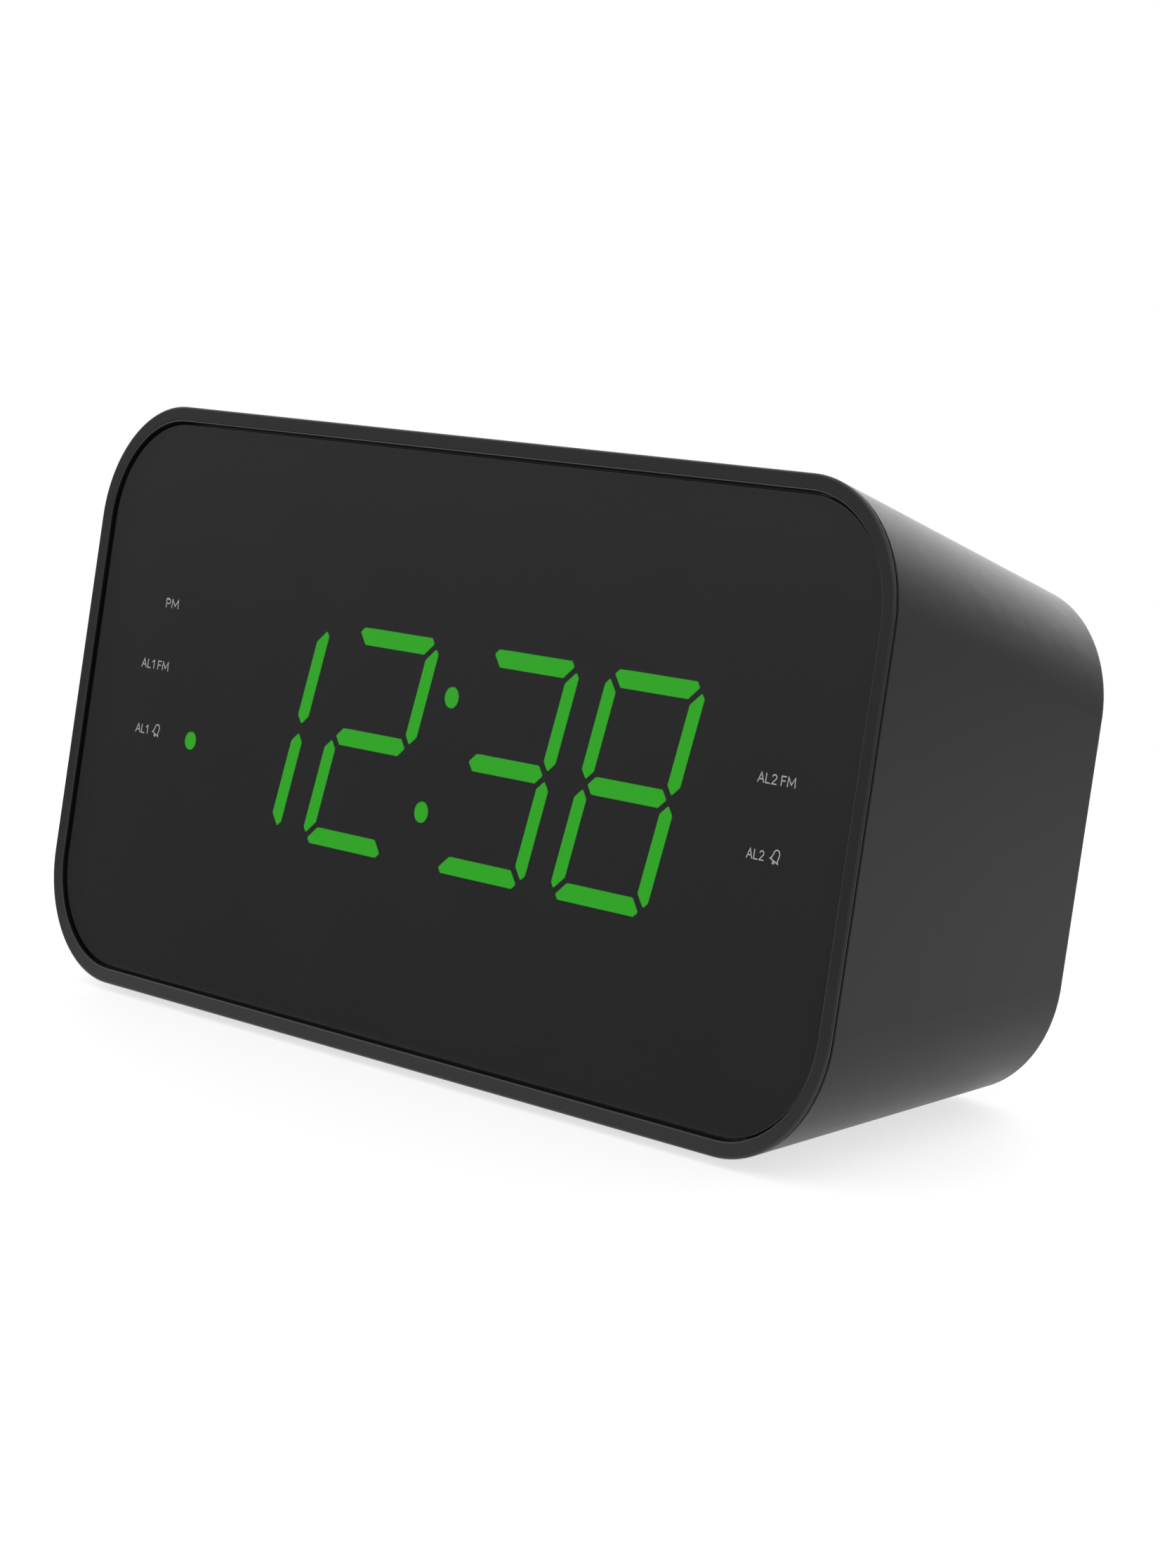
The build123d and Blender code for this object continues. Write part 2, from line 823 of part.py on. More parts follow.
with BuildPart() as capacitors:
    with BuildSketch(Plane.XY.offset(board_top)):
        with Locations(*capacitor_points):
            Circle(capacitor_radius)
    extrude(amount=capacitor_height)
    fillet(capacitors.faces().group_by(Axis.Z)[-1].edges(), capacitor_round)
save(capacitors.part, "capacitors")

# ---------------------------------------------------------------- rear panel
door_low = bay_h - door_size[1] / 2
door_high = bay_h + door_size[1] / 2
hinge_h = door_low + door_thickness / 2
hinge_depth = panel_back - door_thickness / 2
hinge_spot = behind(hinge_depth).from_local_coords((bay_x, hinge_h, 0))
door_middle = (bay_x, bay_h)
notch_h = door_high + door_gap + notch_size[1] / 2 - notch_overlap
slots = []
for index in range(slot_count):
    step = (index - (slot_count - 1) / 2) * slot_pitch
    slots.append((step, 2 * (grille_radius**2 - step**2) ** 0.5 - slot_width))
speaker_screw_points = []
for quarter in range(4):
    turn = radians(diagonal + 90 * quarter)
    speaker_screw_points.append(
        (
            speaker_x + speaker_screw_radius * cos(turn),
            speaker_h + speaker_screw_radius * sin(turn),
        )
    )

with BuildPart() as panel:
    add(tapered(panel_front, panel_back, wall + panel_gap))
    # Loudspeaker slots within a circle
    with BuildSketch(behind(panel_back)):
        for step, length in slots:
            with Locations((speaker_x + step, speaker_h)):
                SlotOverall(length, slot_width, rotation=90)
    extrude(amount=panel_thickness, mode=Mode.SUBTRACT)
    # Battery opening, finger notch and the hinge pins' holes
    with BuildSketch(behind(panel_back)):
        with Locations(door_middle):
            Rectangle(door_size[0] + 2 * door_gap, door_size[1] + 2 * door_gap)
    extrude(amount=panel_thickness, mode=Mode.SUBTRACT)
    with BuildSketch(behind(panel_back)):
        with Locations((bay_x, notch_h)):
            RectangleRounded(*notch_size, notch_corner)
    extrude(amount=notch_depth, mode=Mode.SUBTRACT)
    with BuildSketch(Plane.YZ.offset(bay_x)):
        with Locations((hinge_spot.Y, hinge_spot.Z)):
            Circle(hinge_pin_radius + hinge_play)
    pin_reach = door_size[0] / 2 + hinge_pin_length + door_gap
    extrude(amount=pin_reach, both=True, mode=Mode.SUBTRACT)
    # Power inlet and aerial grommet
    with BuildSketch(behind(panel_back)):
        with Locations((socket_x, socket_h)):
            Circle(socket_nose_radius + socket_play)
        with Locations((grommet_x, socket_h)):
            Circle(grommet_groove_radius)
    extrude(amount=panel_thickness, mode=Mode.SUBTRACT)
    # Screw holes in shallow wells
    with BuildSketch(behind(panel_back)):
        with Locations(*boss_points):
            Circle(shank_radius)
    extrude(amount=panel_thickness, mode=Mode.SUBTRACT)
    with BuildSketch(behind(panel_back)):
        with Locations(*boss_points):
            Circle(screw_well_radius)
    extrude(amount=screw_well_depth, mode=Mode.SUBTRACT)
    with BuildSketch(behind(panel_front)):
        with Locations(*speaker_screw_points):
            Circle(small_shank_radius)
    extrude(amount=-speaker_screw_bite, mode=Mode.SUBTRACT)
save(panel.part, "rear_panel")


def facing_back(depth):
    """The plane at that depth whose normal points out of the back, x still to the right."""
    return Plane(origin=behind(depth).origin, x_dir=(1, 0, 0), z_dir=-face.z_dir)


def turned_over(points):
    """Points given up the face, in the local frame of a plane that faces back."""
    return [(x, -h) for x, h in points]


well_floor = panel_back - screw_well_depth
rear_screws = screws(facing_back(well_floor), turned_over(boss_points), rear_screw_bite)
save(rear_screws, "rear_screws")

# ---------------------------------------------------------------- backup battery bay
bay_length = cell_length + spring_length + plate_thickness
bay_half = bay_length / 2
with BuildPart() as bay:
    with BuildSketch(behind(panel_front)):
        with Locations(door_middle):
            Rectangle(bay_length + 2 * bay_wall, bay_height + 2 * bay_wall)
    extrude(amount=panel_front - bay_floor_depth + bay_wall)
    with BuildSketch(behind(panel_front)):
        with Locations(door_middle):
            Rectangle(bay_length, bay_height)
    extrude(amount=panel_front - bay_floor_depth, mode=Mode.SUBTRACT)
    upright_edges = bay.edges().filter_by(Axis(face.origin, face.z_dir))
    fillet(upright_edges.group_by(SortBy.LENGTH)[-1], bay_corner)
save(bay.part, "battery_bay")

cell_rows = [(1, bay_h + cell_pitch / 2), (-1, bay_h - cell_pitch / 2)]


def bay_plane(x, h, towards):
    """The plane across the bay at x on a cell's axis, its normal along +X or -X."""
    spot = behind(cell_depth).from_local_coords((x, h, 0))
    return Plane(origin=spot, x_dir=(0, towards, 0), z_dir=(towards, 0, 0))


# Each cell lies with its nub against a plate; the two cells point opposite ways.
with BuildPart() as cells:
    for towards, h in cell_rows:
        nub_end = bay_x + towards * (bay_half - plate_thickness)
        with BuildSketch(bay_plane(nub_end - towards * cell_length, h, towards)):
            Circle(cell_radius)
        extrude(amount=cell_length - nub_length)
        with BuildSketch(bay_plane(nub_end - towards * nub_length, h, towards)):
            Circle(nub_radius)
        extrude(amount=nub_length)
    rims = cells.edges().filter_by(GeomType.CIRCLE).group_by(SortBy.RADIUS)[-1]
    fillet(rims, cell_round)
save(cells.part, "backup_cells")

with BuildPart() as plates:
    for towards, h in cell_rows:
        with BuildSketch(bay_plane(bay_x + towards * (bay_half - plate_thickness), h, towards)):
            RectangleRounded(*plate_size, plate_corner)
        extrude(amount=plate_thickness)
save(plates.part, "battery_plates")

# A spring is a coil that narrows from the bay's wall to the flat end of its cell.
coil_rise = spring_length - 2 * spring_wire
springs = []
for towards, h in cell_rows:
    start = bay_x - towards * (bay_half - spring_wire)
    with BuildPart() as spring:
        with BuildLine() as coil:
            Helix(
                pitch=coil_rise / spring_turns,
                height=coil_rise,
                radius=spring_base,
                center=bay_plane(start, h, towards).origin,
                direction=(towards, 0, 0),
                cone_angle=-degrees(atan2(spring_base - spring_tip, coil_rise)),
            )
        with BuildSketch(Plane(origin=coil.line @ 0, z_dir=coil.line % 0)):
            Circle(spring_wire / 2)
        sweep(is_frenet=True)
    springs.append(spring.part)
save(Compound(children=springs), "battery_springs")

# The door turns on two pins at its lower edge, which is rounded about their axis.
hinge_plane = Plane(origin=hinge_spot, x_dir=(0, 1, 0), z_dir=(1, 0, 0))
with BuildPart() as door:
    with BuildSketch(behind(panel_back)):
        with Locations((bay_x, (hinge_h + door_high) / 2)):
            Rectangle(door_size[0], door_high - hinge_h)
    extrude(amount=door_thickness)
    with BuildSketch(hinge_plane):
        Circle(door_thickness / 2)
    extrude(amount=door_size[0] / 2, both=True)
    with BuildSketch(hinge_plane):
        Circle(hinge_pin_radius)
    extrude(amount=door_size[0] / 2 + hinge_pin_length, both=True)
    with BuildSketch(behind(panel_back - door_thickness)):
        with Locations((bay_x, door_high - latch_drop)):
            Rectangle(*latch_size)
    extrude(amount=latch_reach)
save(door.part, "battery_door")

# ---------------------------------------------------------------- sockets
socket_spot = (socket_x, -socket_h)
with BuildPart() as socket:
    with BuildSketch(facing_back(panel_front - socket_length + socket_nose_length)):
        with Locations(socket_spot):
            Circle(socket_body_radius)
    extrude(amount=socket_length - socket_nose_length)
    with BuildSketch(facing_back(panel_front)):
        with Locations(socket_spot):
            Circle(socket_nose_radius)
    extrude(amount=panel_thickness)
    with BuildSketch(facing_back(panel_back)):
        with Locations(socket_spot):
            Circle(socket_bore_radius)
    extrude(amount=-socket_bore_depth, mode=Mode.SUBTRACT)
save(socket.part, "power_socket")

with BuildPart() as pin:
    with BuildSketch(facing_back(panel_back - socket_bore_depth)):
        with Locations(socket_spot):
            Circle(socket_pin_radius)
    extrude(amount=socket_bore_depth - socket_pin_end)
    pin_end = pin.faces().sort_by(Axis(face.origin, face.z_dir))[0]
    fillet(pin_end.edges(), socket_pin_round)
save(pin.part, "power_socket_pin")

with BuildPart() as grommet:
    with BuildSketch(facing_back(panel_front - grommet_lip)):
        with Locations((grommet_x, -socket_h)):
            Circle(grommet_radius)
    extrude(amount=grommet_lip)
    with BuildSketch(facing_back(panel_front)):
        with Locations((grommet_x, -socket_h)):
            Circle(grommet_groove_radius)
    extrude(amount=panel_thickness)
    with BuildSketch(facing_back(panel_back)):
        with Locations((grommet_x, -socket_h)):
            Circle(grommet_radius)
    extrude(amount=grommet_lip)
    outer_rim = grommet.faces().sort_by(Axis(face.origin, face.z_dir))[0].edges()
    fillet(outer_rim, grommet_lip / 2)
    with BuildSketch(facing_back(panel_back + grommet_lip)):
        with Locations((grommet_x, -socket_h)):
            Circle(grommet_hole_radius)
    extrude(amount=-2 * grommet_lip - panel_thickness, mode=Mode.SUBTRACT)
save(grommet.part, "aerial_grommet")

# ---------------------------------------------------------------- loudspeaker
# Every piece is turned about the speaker's axis.
speaker_spot = behind(panel_front).from_local_coords((speaker_x, speaker_h, 0))
speaker_plane = Plane(origin=speaker_spot, x_dir=(1, 0, 0), z_dir=(0, -lean_sin, -lean_cos))
speaker_axis = Axis(speaker_spot, face.z_dir)
for name, profile in speaker_profiles.items():
    with BuildPart() as piece:
        with BuildSketch(speaker_plane):
            with BuildLine():
                Polyline(*profile, close=True)
            make_face()
        revolve(axis=speaker_axis)
        for radius, count, ring, start, end in speaker_openings.get(name, []):
            with BuildSketch(behind(panel_front - start)):
                with Locations((speaker_x, speaker_h)):
                    with PolarLocations(ring, count, start_angle=diagonal):
                        Circle(radius)
            extrude(amount=end - start, mode=Mode.SUBTRACT)
    save(piece.part, name)

speaker_screws = screws(
    behind(panel_front - rim_front),
    speaker_screw_points,
    rim_front + speaker_screw_bite,
    small_shank_radius,
    small_head_radius,
)
save(speaker_screws, "speaker_screws")

# ---------------------------------------------------------------- ribbon cables
# Each ribbon is a thin strip in a side view, bent from a board to its socket.
def ribbon(name, size, surface, ends, turn):
    """A flat cable that leaves along a board's surface, turns down and meets its socket."""
    x, width, bend = size
    start, leave = (surface.from_local_coords((0, along, 0)) for along in ends)
    socket_top = board_top + board_parts["board_sockets"][1][2]
    with BuildPart() as strip:
        with BuildSketch(Plane.YZ.offset(x)):
            with BuildLine():
                FilletPolyline(
                    (start.Y, start.Z),
                    (leave.Y, leave.Z),
                    turn,
                    (turn[0], socket_top),
                    radius=bend,
                )
            trace(line_width=ribbon_thickness)
        extrude(amount=width / 2, both=True)
    save(strip.part, name)


ribbon_lift = board_thickness + ribbon_thickness / 2
ribbon(
    "display_ribbon",
    display_ribbon_size,
    behind(block_end + ribbon_lift),
    display_ribbon_ends,
    display_ribbon_turn,
)
ribbon(
    "key_ribbon",
    key_ribbon_size,
    below_crown(switch_base + ribbon_lift),
    key_ribbon_ends,
    key_ribbon_turn,
)

# ---------------------------------------------------------------- feet
with BuildPart() as feet:
    with BuildSketch():
        with Locations(*foot_points):
            Circle(foot_radius)
    extrude(amount=foot_height + foot_sink)
    fillet(feet.faces().group_by(Axis.Z)[0].edges(), foot_edge_radius)
save(feet.part, "rubber_feet")
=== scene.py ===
import json
import math

import bpy
from mathutils import Matrix, Quaternion, Vector


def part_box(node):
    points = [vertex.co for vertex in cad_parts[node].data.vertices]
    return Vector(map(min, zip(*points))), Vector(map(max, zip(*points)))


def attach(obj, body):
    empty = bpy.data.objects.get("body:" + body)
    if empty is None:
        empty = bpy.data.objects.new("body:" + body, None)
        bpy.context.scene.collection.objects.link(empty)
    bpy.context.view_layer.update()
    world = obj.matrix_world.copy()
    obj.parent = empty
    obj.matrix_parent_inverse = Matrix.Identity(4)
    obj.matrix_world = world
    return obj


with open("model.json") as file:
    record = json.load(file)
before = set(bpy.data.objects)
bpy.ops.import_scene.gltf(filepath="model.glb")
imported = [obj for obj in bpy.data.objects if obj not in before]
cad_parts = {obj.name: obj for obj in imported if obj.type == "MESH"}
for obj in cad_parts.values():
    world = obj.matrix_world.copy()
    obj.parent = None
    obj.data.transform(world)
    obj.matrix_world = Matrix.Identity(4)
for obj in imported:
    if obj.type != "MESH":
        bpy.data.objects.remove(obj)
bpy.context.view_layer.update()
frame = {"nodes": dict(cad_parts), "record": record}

# Clock radio. The scene is in metres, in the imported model's frame, with x to the right, y away
# from the viewer and z up. The face leans back by LEAN. Places on it are given in millimetres:
# x across from its middle, and height up the face from its middle.
MM = 0.001
LEAN = math.radians(10.5)

nodes = frame["nodes"]
scene = bpy.context.scene

# ---------------------------------------------------------------- places on the radio
# Millimetres, square to the face: the lens' front below the face plane, the lens' thickness,
# half the face's height, and the rear panel's outside behind the face plane
LENS_FRONT = 0.4
LENS_THICKNESS = 1.6
FACE_HALF_HEIGHT = 46.0
PANEL_BACK = 53.2
# The crown falls towards the back by the lean and the taper, which are equal
CROWN_TILT = 2 * LEAN

RIGHT = Vector((1, 0, 0))
up_face = Vector((0, math.sin(LEAN), math.cos(LEAN)))
inward = Vector((0, math.cos(LEAN), -math.sin(LEAN)))
lens_low, lens_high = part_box("smoked_lens")
lens_centre = (lens_low + lens_high) / 2
face_centre = lens_centre - inward * (LENS_FRONT + LENS_THICKNESS / 2) * MM
crown_back = Vector((0, math.cos(CROWN_TILT), -math.sin(CROWN_TILT)))
crown_out = Vector((0, math.sin(CROWN_TILT), math.cos(CROWN_TILT)))
crown_front = face_centre + up_face * FACE_HALF_HEIGHT * MM


def basis(origin, right, up):
    """A matrix whose x and y lie along right and up, and whose z stands out of them."""
    out = right.cross(up)
    rows = Matrix((right, up, out)).transposed().to_4x4()
    return Matrix.Translation(origin) @ rows


def on_lens(x, height):
    """Local frame for marks on the lens' front."""
    origin = face_centre + RIGHT * x * MM + up_face * height * MM + inward * LENS_FRONT * MM
    return basis(origin, RIGHT, up_face)


def on_crown(x, back, proud):
    """Local frame for marks on the keys, back from the crown's front edge and above the crown."""
    origin = crown_front + RIGHT * x * MM + crown_back * back * MM + crown_out * proud * MM
    return basis(origin, RIGHT, crown_back)


def on_rear(x, height):
    """Local frame for marks on the rear panel, which read from behind."""
    origin = face_centre + RIGHT * x * MM + up_face * height * MM + inward * PANEL_BACK * MM
    return basis(origin, -RIGHT, up_face)


# ---------------------------------------------------------------- materials
# How much finer detail each noise carries: tone and roughness patches, and the surface's grain
PATCH_DETAIL = 4.0
GRAIN_DETAIL = 2.0
# Grains across one patch of roughness
GRAINS_PER_PATCH = 6


def feed(tree, slot, value):
    """Gives an input its value: another node's output, three parts of a colour, or a number."""
    if isinstance(value, bpy.types.NodeSocket):
        tree.links.new(value, slot)
    elif slot.type == "RGBA":
        slot.default_value = (*value, 1)
    else:
        slot.default_value = value


def new_tree(name):
    """A fresh Principled material: (material, its node tree, its shader)."""
    made = bpy.data.materials.new(name)
    made.use_nodes = True
    return made, made.node_tree, made.node_tree.nodes["Principled BSDF"]


def noise(tree, scale, detail, stretch=(1, 1, 1)):
    """A noise pattern fixed to the object, with that many cells to the metre."""
    place = tree.nodes.new("ShaderNodeTexCoord")
    mapping = tree.nodes.new("ShaderNodeMapping")
    feed(tree, mapping.inputs["Vector"], place.outputs["Object"])
    feed(tree, mapping.inputs["Scale"], stretch)
    pattern = tree.nodes.new("ShaderNodeTexNoise")
    feed(tree, pattern.inputs["Vector"], mapping.outputs["Vector"])
    feed(tree, pattern.inputs["Scale"], scale)
    feed(tree, pattern.inputs["Detail"], detail)
    return pattern.outputs["Fac"]


def ranged(tree, source, low, high, start=0.3, end=0.7, shape="LINEAR"):
    """Goes from low to high as a value goes from start to end: a pattern's middle, as a rule."""
    spread = tree.nodes.new("ShaderNodeMapRange")
    spread.interpolation_type = shape
    feed(tree, spread.inputs["Value"], source)
    feed(tree, spread.inputs["From Min"], start)
    feed(tree, spread.inputs["From Max"], end)
    feed(tree, spread.inputs["To Min"], low)
    feed(tree, spread.inputs["To Max"], high)
    return spread.outputs["Result"]


def blended(tree, factor, first, second):
    """A colour between two others."""
    mix = tree.nodes.new("ShaderNodeMix")
    mix.data_type = "RGBA"
    feed(tree, mix.inputs["Factor"], factor)
    feed(tree, mix.inputs["A"], first)
    feed(tree, mix.inputs["B"], second)
    return mix.outputs["Result"]


def worked(tree, operation, *values):
    """One step of arithmetic on outputs or numbers."""
    node = tree.nodes.new("ShaderNodeMath")
    node.operation = operation
    for slot, value in zip(node.inputs, values):
        feed(tree, slot, value)
    return node.outputs["Value"]


def bumped(tree, shader, height, distance):
    """Raises the surface by a pattern, to that many metres, on top of any earlier bump."""
    bump = tree.nodes.new("ShaderNodeBump")
    bump.inputs["Distance"].default_value = distance
    feed(tree, bump.inputs["Height"], height)
    earlier = shader.inputs["Normal"].links
    if earlier:
        feed(tree, bump.inputs["Normal"], earlier[0].from_socket)
    feed(tree, shader.inputs["Normal"], bump.outputs["Normal"])


def surface(
    name,
    colour,
    rough,
    rough_spread=0.04,
    tone=0.08,
    tone_scale=60,
    grain=3000,
    depth=4e-6,
    metallic=0.0,
    level=0.5,
    stretch=(1, 1, 1),
    alpha=1.0,
    glow=None,
):
    """A material with mottled tone and roughness and a fine raised grain.

    Tone is the part by which the colour varies. Tone_scale and grain are cells to the metre,
    depth is the grain's height in metres, level is the specular level, and glow is a colour
    and a strength.
    """
    made, tree, shader = new_tree(name)
    patchy = noise(tree, tone_scale, PATCH_DETAIL, stretch)
    darker = [c * (1 - tone) for c in colour]
    lighter = [min(1.0, c * (1 + tone)) for c in colour]
    feed(tree, shader.inputs["Base Color"], blended(tree, patchy, darker, lighter))
    worn = noise(tree, grain / GRAINS_PER_PATCH, PATCH_DETAIL, stretch)
    roughness = ranged(tree, worn, rough - rough_spread, rough + rough_spread)
    feed(tree, shader.inputs["Roughness"], roughness)
    bumped(tree, shader, noise(tree, grain, GRAIN_DETAIL, stretch), depth)
    shader.inputs["Metallic"].default_value = metallic
    shader.inputs["Specular IOR Level"].default_value = level
    shader.inputs["Alpha"].default_value = alpha
    if glow:
        glow_colour, glow_strength = glow
        shader.inputs["Emission Color"].default_value = (*glow_colour, 1)
        shader.inputs["Emission Strength"].default_value = glow_strength
    return made


def position(tree, axis):
    """The object's own coordinate along one axis, in metres."""
    place = tree.nodes.new("ShaderNodeTexCoord")
    split = tree.nodes.new("ShaderNodeSeparateXYZ")
    feed(tree, split.inputs["Vector"], place.outputs["Object"])
    return split.outputs[axis]


def ridged(made, axis, pitch, depth):
    """Adds even ridges across an axis to a material, one to each pitch in metres."""
    tree = made.node_tree
    turns = worked(tree, "MULTIPLY", position(tree, axis), 2 * math.pi / pitch)
    bumped(tree, tree.nodes["Principled BSDF"], worked(tree, "SINE", turns), depth)


# Dry cells: metres from a cell's middle to its steel ends and to its label's pale bands, the
# colours, and the wear of the jacket
CELL_STEEL_FROM = 20.3 * MM
CELL_BAND_FROM = 15.5 * MM
CELL_JACKET = (0.02, 0.05, 0.035)
CELL_BAND = (0.45, 0.46, 0.45)
CELL_STEEL = (0.6, 0.6, 0.58)
CELL_ROUGH = (0.24, 0.36)
CELL_PATCH_SCALE = 500
CELL_PATCH_DETAIL = 3.0
CELL_CRIMP = -8e-5


def cell_jacket(centre_x):
    """Dry cells: a printed jacket with a pale band, and bright steel at both ends."""
    made, tree, shader = new_tree("cell_jacket")
    from_centre = worked(tree, "SUBTRACT", position(tree, "X"), centre_x)
    from_middle = worked(tree, "ABSOLUTE", from_centre)
    steel = worked(tree, "GREATER_THAN", from_middle, CELL_STEEL_FROM)
    band = worked(tree, "GREATER_THAN", from_middle, CELL_BAND_FROM)
    jacket = blended(tree, band, CELL_JACKET, CELL_BAND)
    feed(tree, shader.inputs["Base Color"], blended(tree, steel, jacket, CELL_STEEL))
    feed(tree, shader.inputs["Metallic"], steel)
    worn = noise(tree, CELL_PATCH_SCALE, CELL_PATCH_DETAIL)
    feed(tree, shader.inputs["Roughness"], ranged(tree, worn, *CELL_ROUGH))
    bumped(tree, shader, steel, CELL_CRIMP)
    return made


LIT_GREEN = (0.036, 1.0, 0.0005)
LIT_STRENGTH = 3.73
NEAR_BLACK = (0.0025, 0.0025, 0.0025)

# What each material slot in the record looks like, in the terms of surface()
FINISHES = {
    "housing_plastic": dict(
        colour=(0.011, 0.011, 0.0115), rough=0.37, rough_spread=0.008, grain=2400, depth=2e-6, level=0.2
    ),
    "bezel_plastic": dict(
        colour=(0.004, 0.004, 0.0042), rough=0.29, rough_spread=0.01, grain=2400, depth=2e-6
    ),
    "smoked_acrylic": dict(
        colour=(0.0212, 0.0212, 0.0226), rough=0.05, rough_spread=0.01, grain=30, depth=1e-6,
        level=0.47, alpha=0.7
    ),
    "foam_tape": dict(colour=NEAR_BLACK, rough=0.9, grain=1500, depth=2e-5, level=0.0),
    "lit_green": dict(
        colour=(0.02, 0.3, 0.02), rough=0.5, depth=1e-6, level=0.0, glow=(LIT_GREEN, LIT_STRENGTH)
    ),
    "unlit_guide": dict(colour=NEAR_BLACK, rough=0.6, level=0.0),
    "reflector_black": dict(colour=NEAR_BLACK, rough=0.8, level=0.0),
    "led_white": dict(colour=(0.75, 0.75, 0.62), rough=0.4),
    "circuit_board": dict(
        colour=(0.012, 0.11, 0.045), rough=0.3, tone=0.3, tone_scale=700, grain=900
    ),
    "zinc_steel": dict(
        colour=(0.5, 0.5, 0.49), rough=0.34, rough_spread=0.1, metallic=1.0, grain=2500, depth=6e-6
    ),
    "key_plastic": dict(colour=(0.03, 0.03, 0.031), rough=0.42, level=0.3),
    "switch_plastic": dict(colour=(0.04, 0.04, 0.04), rough=0.4),
    "chip_epoxy": dict(colour=(0.02, 0.02, 0.02), rough=0.6, grain=5000, depth=8e-6),
    "tin_plate": dict(
        colour=(0.62, 0.61, 0.58), rough=0.28, rough_spread=0.08, metallic=1.0, stretch=(0.15, 1, 1)
    ),
    "socket_nylon": dict(colour=(0.7, 0.67, 0.56), rough=0.5),
    "capacitor_sleeve": dict(colour=(0.012, 0.016, 0.04), rough=0.3),
    "panel_plastic": dict(
        colour=(0.024, 0.024, 0.025), rough=0.52, grain=2200, depth=1.2e-5, level=0.3
    ),
    "socket_plastic": dict(colour=(0.014, 0.014, 0.014), rough=0.4),
    "black_rubber": dict(
        colour=(0.018, 0.018, 0.018), rough=0.75, grain=2600, depth=1.5e-5, level=0.3
    ),
    "speaker_steel": dict(colour=(0.2, 0.2, 0.2), rough=0.4, metallic=1.0),
    "speaker_paper": dict(
        colour=(0.03, 0.028, 0.026), rough=0.85, tone=0.3, grain=1600, depth=4e-5
    ),
    "copper_wire": dict(
        colour=(0.55, 0.22, 0.08), rough=0.3, metallic=1.0, stretch=(0.1, 0.1, 3)
    ),
    "woven_spider": dict(
        colour=(0.42, 0.22, 0.07), rough=0.8, tone=0.3, grain=1400, depth=6e-5
    ),
    "ferrite": dict(colour=(0.05, 0.05, 0.055), rough=0.7, grain=2200, depth=2e-5),
    "ribbon_grey": dict(colour=(0.4, 0.4, 0.41), rough=0.5),
    "legend_ink": dict(
        colour=(0.38, 0.4, 0.41), rough=0.55, tone=0.05, tone_scale=900, grain=5000
    ),
}
RIBBON_WIRE_PITCH = 1.27 * MM
RIBBON_WIRE_DEPTH = 1.2e-4
SPIDER_THREAD_PITCH = 0.5 * MM
SPIDER_THREAD_DEPTH = 5e-5

looks = {slot: surface(slot, **finish) for slot, finish in FINISHES.items()}
cells_low, cells_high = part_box("backup_cells")
looks["cell_label"] = cell_jacket((cells_low.x + cells_high.x) / 2)
ridged(looks["ribbon_grey"], "X", RIBBON_WIRE_PITCH, RIBBON_WIRE_DEPTH)
for axis in "XZ":
    ridged(looks["woven_spider"], axis, SPIDER_THREAD_PITCH, SPIDER_THREAD_DEPTH)
for entry in frame["record"]["subparts"]:
    mesh = nodes[entry["node"]].data
    mesh.materials.clear()
    mesh.materials.append(looks[entry["material_slot"]])


# ---------------------------------------------------------------- printed marks
# A mark is a list of strokes, each a line of (x, y) points in millimetres. A stroke whose last
# point is its first one is closed.

# Straight pieces in an arc, as a rule, and in a whole circle
ARC_STEPS = 14
RING_STEPS = 28


def arc(x, y, radius, start, stop, steps=ARC_STEPS):
    """Points along part of a circle, in degrees anticlockwise from the right."""
    turns = [math.radians(start + (stop - start) * i / steps) for i in range(steps + 1)]
    return [(x + radius * math.cos(a), y + radius * math.sin(a)) for a in turns]


def ring(x, y, radius):
    """A whole circle, closed."""
    points = arc(x, y, radius, 0, 360, RING_STEPS)
    return points[:-1] + points[:1]


# Letters stand on y = 0 and are 1 high: their width, the step to the next one, and their strokes
LETTERS = {
    "A": (0.76, 1.00, [[(0, 0), (0.38, 1), (0.76, 0)], [(0.12, 0.32), (0.64, 0.32)]]),
    "F": (0.52, 0.78, [[(0.52, 1), (0, 1), (0, 0)], [(0, 0.52), (0.45, 0.52)]]),
    "L": (0.48, 0.76, [[(0, 1), (0, 0), (0.48, 0)]]),
    "M": (0.95, 1.20, [[(0, 0), (0.05, 1), (0.475, 0.22), (0.90, 1), (0.95, 0)]]),
    "P": (0.58, 0.84, [[(0, 0), (0, 1), (0.30, 1)] + arc(0.30, 0.72, 0.28, 90, -90) + [(0, 0.44)]]),
    "Z": (0.70, 0.95, [[(0, 1), (0.70, 1), (0, 0), (0.70, 0)]]),
    "1": (0.28, 0.60, [[(0, 0.78), (0.28, 1), (0.28, 0)]]),
    "2": (0.56, 0.82, [arc(0.28, 0.73, 0.27, 165, -35) + [(0, 0), (0.56, 0)]]),
    " ": (0.0, 0.36, []),
}


def moved(strokes, x=0.0, y=0.0, wide=1.0, high=1.0, turn=0.0):
    """Strokes stretched, turned by degrees and then shifted."""
    c, s = math.cos(math.radians(turn)), math.sin(math.radians(turn))
    return [
        [(x + c * a * wide - s * b * high, y + s * a * wide + c * b * high) for a, b in line]
        for line in strokes
    ]


def words(text):
    """(strokes, width) of a line of text one unit high."""
    strokes, pen, width = [], 0.0, 0.0
    for letter in text:
        wide, advance, lines = LETTERS[letter]
        strokes += moved(lines, pen)
        width = pen + wide
        pen += advance
    return strokes, width


def fitted(text, left, right, base, height):
    """Text stretched to run from left to right."""
    strokes, width = words(text)
    return moved(strokes, left, base, (right - left) / width, height)


